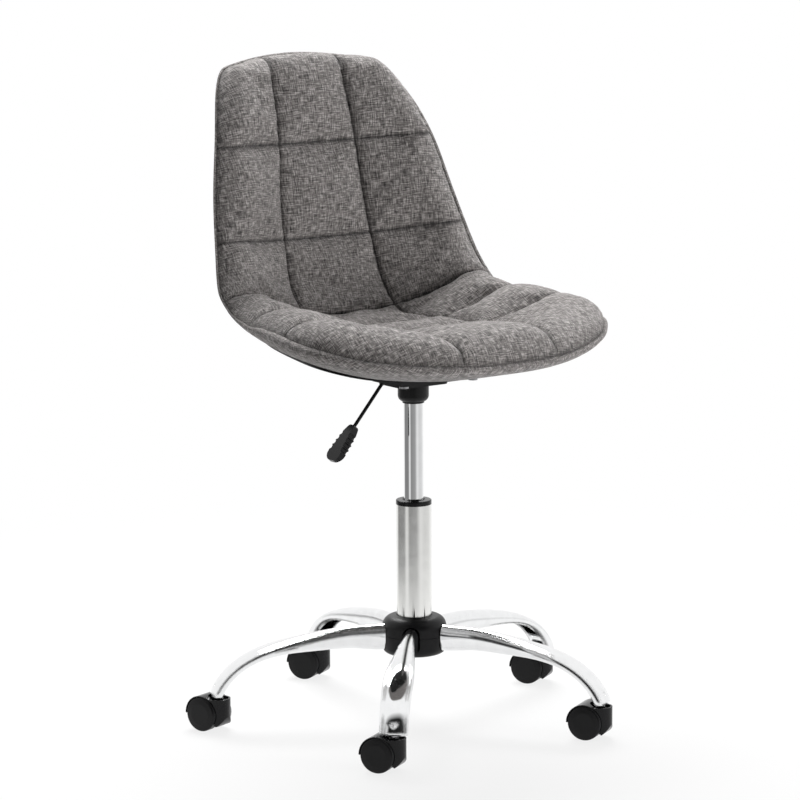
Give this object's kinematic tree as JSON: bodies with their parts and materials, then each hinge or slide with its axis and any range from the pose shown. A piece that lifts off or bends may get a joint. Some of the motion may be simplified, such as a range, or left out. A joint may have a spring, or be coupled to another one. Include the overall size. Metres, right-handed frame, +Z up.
{
  "type": "swivel office chair",
  "caption": "Swivel chair with a quilted grey fabric bucket seat on a chrome gas lift, and a chrome star base on twin-wheel casters.",
  "frame": {"origin": "on the floor, on the axis of the lift column", "axes": "+Z up along the lift column; the sitter faces -Y; +X is on the sitter's left"},
  "size_m": [0.5904, 0.5924, 0.9402],
  "materials": {
    "chrome": "mirror-bright plating",
    "bright_steel": "bright zinc",
    "zinc_steel": "dull zinc",
    "dark_steel": "oiled",
    "brass_fitting": "turned",
    "black_steel": "satin black powder coat",
    "black_plastic": "satin",
    "black_gloss": "gloss",
    "wheel_plastic": "smooth satin",
    "shell_plastic": "moulded",
    "rubber": "matt",
    "grey_fabric": "linen weave, quilted",
    "rear_fabric": "linen weave"
  },
  "bodies": {
    "base": {"hub_sleeve": "dark_steel", "hub_cover_upper": "black_plastic", "hub_cover_lower": "black_plastic", "column_tube": "chrome", "column_guide": "black_gloss", "column_end_plate": "dark_steel", "bearing_race_lower": "dark_steel", "stem_sockets": "black_plastic", "arm_1": "chrome", "arm_2": "chrome", "arm_3": "chrome", "arm_4": "chrome", "arm_5": "chrome", "caster_1_stem": "bright_steel", "caster_2_stem": "bright_steel", "caster_3_stem": "bright_steel", "caster_4_stem": "bright_steel", "caster_5_stem": "bright_steel"},
    "lift_rod": {"piston_rod": "bright_steel", "piston": "brass_fitting", "bearing_race_upper": "dark_steel", "rubber_stop": "rubber", "retaining_clip": "dark_steel", "bearing_balls": "dark_steel"},
    "seat": {"gas_cylinder": "chrome", "rod_seal": "black_plastic", "taper_cup": "black_steel", "seat_plate": "black_steel", "lever_bracket": "black_steel", "lever_pin": "bright_steel", "mounting_block": "black_plastic", "seat_bolts": "zinc_steel", "threaded_inserts": "zinc_steel", "seat_shell": "shell_plastic", "seat_pad": "grey_fabric", "rear_upholstery": "rear_fabric", "underside_cover": "black_plastic"},
    "release_pin": {"release_pin": "bright_steel"},
    "lever": {"lever_rod": "black_steel", "lever_paddle": "black_gloss"},
    "caster_1": {"caster_1_hood": "black_gloss", "caster_1_axle": "bright_steel"},
    "wheel_1_left": {"caster_1_wheel_left": "wheel_plastic"},
    "wheel_1_right": {"caster_1_wheel_right": "wheel_plastic"},
    "caster_2": {"caster_2_hood": "black_gloss", "caster_2_axle": "bright_steel"},
    "wheel_2_left": {"caster_2_wheel_left": "wheel_plastic"},
    "wheel_2_right": {"caster_2_wheel_right": "wheel_plastic"},
    "caster_3": {"caster_3_hood": "black_gloss", "caster_3_axle": "bright_steel"},
    "wheel_3_left": {"caster_3_wheel_left": "wheel_plastic"},
    "wheel_3_right": {"caster_3_wheel_right": "wheel_plastic"},
    "caster_4": {"caster_4_hood": "black_gloss", "caster_4_axle": "bright_steel"},
    "wheel_4_left": {"caster_4_wheel_left": "wheel_plastic"},
    "wheel_4_right": {"caster_4_wheel_right": "wheel_plastic"},
    "caster_5": {"caster_5_hood": "black_gloss", "caster_5_axle": "bright_steel"},
    "wheel_5_left": {"caster_5_wheel_left": "wheel_plastic"},
    "wheel_5_right": {"caster_5_wheel_right": "wheel_plastic"}
  },
  "joints": [
    {"name": "seat_swivel", "type": "hinge", "parent": "base", "child": "lift_rod", "pos_m": [0, 0, 0.3], "axis": [0, 0, 1], "continuous": true},
    {"name": "height_lift", "type": "slide", "parent": "lift_rod", "child": "seat", "axis": [0, 0, 1], "range_m": [-0.12, 0]},
    {"name": "lever_pull", "type": "hinge", "parent": "seat", "child": "lever", "pos_m": [-0.024, 0, 0.493], "axis": [0, 1, 0], "range_deg": [0, 7.5], "stiffness_Nm_per_rad": 0.6, "springref_deg": -8.59},
    {"name": "pin_press", "type": "slide", "parent": "seat", "child": "release_pin", "axis": [0, 0, -1], "range_m": [0, 0.0035]},
    {"name": "caster_1_swivel", "type": "hinge", "parent": "base", "child": "caster_1", "pos_m": [0.14175, -0.24552, 0.04], "axis": [0, 0, 1], "continuous": true},
    {"name": "wheel_1_left_roll", "type": "hinge", "parent": "caster_1", "child": "wheel_1_left", "pos_m": [0.13325, -0.2308, 0.0245], "axis": [-0.866, -0.5, 0], "continuous": true},
    {"name": "wheel_1_right_roll", "type": "hinge", "parent": "caster_1", "child": "wheel_1_right", "pos_m": [0.13325, -0.2308, 0.0245], "axis": [-0.866, -0.5, 0], "continuous": true},
    {"name": "caster_2_swivel", "type": "hinge", "parent": "base", "child": "caster_2", "pos_m": [0.27731, 0.05894, 0.04], "axis": [0, 0, 1], "continuous": true},
    {"name": "wheel_2_left_roll", "type": "hinge", "parent": "caster_2", "child": "wheel_2_left", "pos_m": [0.26881, 0.07366, 0.0245], "axis": [-0.866, -0.5, 0], "continuous": true},
    {"name": "wheel_2_right_roll", "type": "hinge", "parent": "caster_2", "child": "wheel_2_right", "pos_m": [0.26881, 0.07366, 0.0245], "axis": [-0.866, -0.5, 0], "continuous": true},
    {"name": "caster_3_swivel", "type": "hinge", "parent": "base", "child": "caster_3", "pos_m": [0.02963, 0.28195, 0.04], "axis": [0, 0, 1], "continuous": true},
    {"name": "wheel_3_left_roll", "type": "hinge", "parent": "caster_3", "child": "wheel_3_left", "pos_m": [0.02113, 0.29667, 0.0245], "axis": [-0.866, -0.5, 0], "continuous": true},
    {"name": "wheel_3_right_roll", "type": "hinge", "parent": "caster_3", "child": "wheel_3_right", "pos_m": [0.02113, 0.29667, 0.0245], "axis": [-0.866, -0.5, 0], "continuous": true},
    {"name": "caster_4_swivel", "type": "hinge", "parent": "base", "child": "caster_4", "pos_m": [-0.25899, 0.11531, 0.04], "axis": [0, 0, 1], "continuous": true},
    {"name": "wheel_4_left_roll", "type": "hinge", "parent": "caster_4", "child": "wheel_4_left", "pos_m": [-0.26424, 0.13148, 0.0245], "axis": [-0.9511, -0.309, 0], "continuous": true},
    {"name": "wheel_4_right_roll", "type": "hinge", "parent": "caster_4", "child": "wheel_4_right", "pos_m": [-0.26424, 0.13148, 0.0245], "axis": [-0.9511, -0.309, 0], "continuous": true},
    {"name": "caster_5_swivel", "type": "hinge", "parent": "base", "child": "caster_5", "pos_m": [-0.1897, -0.21068, 0.04], "axis": [0, 0, 1], "continuous": true},
    {"name": "wheel_5_left_roll", "type": "hinge", "parent": "caster_5", "child": "wheel_5_left", "pos_m": [-0.1982, -0.19596, 0.0245], "axis": [-0.866, -0.5, 0], "continuous": true},
    {"name": "wheel_5_right_roll", "type": "hinge", "parent": "caster_5", "child": "wheel_5_right", "pos_m": [-0.1982, -0.19596, 0.0245], "axis": [-0.866, -0.5, 0], "continuous": true}
  ],
  "couplings": [
    {"joint": "pin_press", "follows": "lever_pull", "m_per_rad": 0.024}
  ]
}
